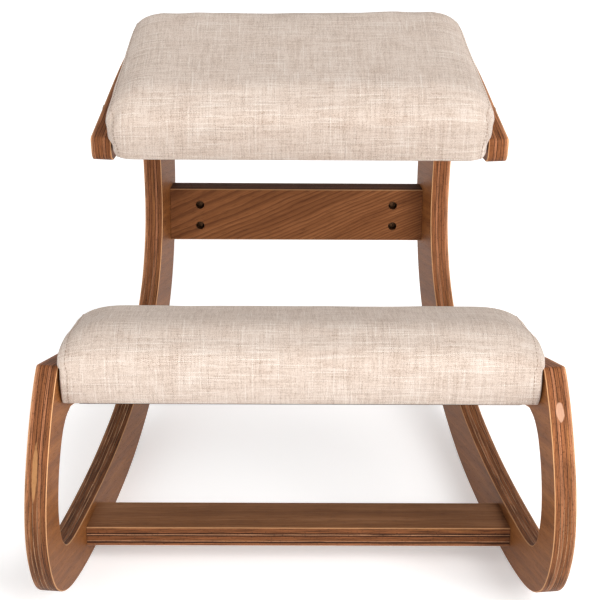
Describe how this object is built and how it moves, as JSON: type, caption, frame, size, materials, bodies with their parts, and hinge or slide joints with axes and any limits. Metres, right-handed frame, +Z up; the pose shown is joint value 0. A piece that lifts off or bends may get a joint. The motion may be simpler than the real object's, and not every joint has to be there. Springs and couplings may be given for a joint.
{
  "type": "rocking kneeling chair",
  "caption": "Rocking kneeling chair: plywood rocker side frames joined by crossbars, with a tilted seat cushion and a knee cushion.",
  "frame": {"origin": "on the floor, at the centre of the bottom of the bounding box", "axes": "+X to the right, -Y to the front where the knee rest is, +Z up"},
  "size_m": [0.5368, 0.7118, 0.5171],
  "materials": {
    "walnut_plywood": "walnut-stained plywood, satin lacquer, light and dark plies along every edge",
    "board_plywood": "plain plywood, unfinished",
    "foam": "moulded seat foam",
    "linen": "beige slub linen weave",
    "dust_cloth": "black non-woven dust cloth",
    "dark_steel": "blackened steel bolts with a socket head",
    "zinc_steel": "zinc-plated cross nuts and staples"
  },
  "bodies": {
    "root": {"side_frame_left": "walnut_plywood", "side_frame_right": "walnut_plywood", "upper_crossbar": "walnut_plywood", "lower_crossbar": "walnut_plywood", "seat_board": "board_plywood", "seat_foam": "foam", "seat_cover": "linen", "seat_dust_cloth": "dust_cloth", "knee_board": "board_plywood", "knee_foam": "foam", "knee_cover": "linen", "knee_dust_cloth": "dust_cloth", "upper_crossbar_bolt_left_a": "dark_steel", "upper_crossbar_bolt_left_b": "dark_steel", "upper_crossbar_bolt_right_a": "dark_steel", "upper_crossbar_bolt_right_b": "dark_steel", "lower_crossbar_bolt_left_a": "dark_steel", "lower_crossbar_bolt_left_b": "dark_steel", "lower_crossbar_bolt_right_a": "dark_steel", "lower_crossbar_bolt_right_b": "dark_steel", "seat_board_bolt_left_a": "dark_steel", "seat_board_bolt_left_b": "dark_steel", "seat_board_bolt_right_a": "dark_steel", "seat_board_bolt_right_b": "dark_steel", "knee_board_bolt_left_a": "dark_steel", "knee_board_bolt_left_b": "dark_steel", "knee_board_bolt_right_a": "dark_steel", "knee_board_bolt_right_b": "dark_steel", "upper_crossbar_nut_left_a": "zinc_steel", "upper_crossbar_nut_left_b": "zinc_steel", "upper_crossbar_nut_right_a": "zinc_steel", "upper_crossbar_nut_right_b": "zinc_steel", "lower_crossbar_nut_left_a": "zinc_steel", "lower_crossbar_nut_left_b": "zinc_steel", "lower_crossbar_nut_right_a": "zinc_steel", "lower_crossbar_nut_right_b": "zinc_steel", "seat_board_nut_left_a": "zinc_steel", "seat_board_nut_left_b": "zinc_steel", "seat_board_nut_right_a": "zinc_steel", "seat_board_nut_right_b": "zinc_steel", "knee_board_nut_left_a": "zinc_steel", "knee_board_nut_left_b": "zinc_steel", "knee_board_nut_right_a": "zinc_steel", "knee_board_nut_right_b": "zinc_steel"}
  },
  "joints": []
}
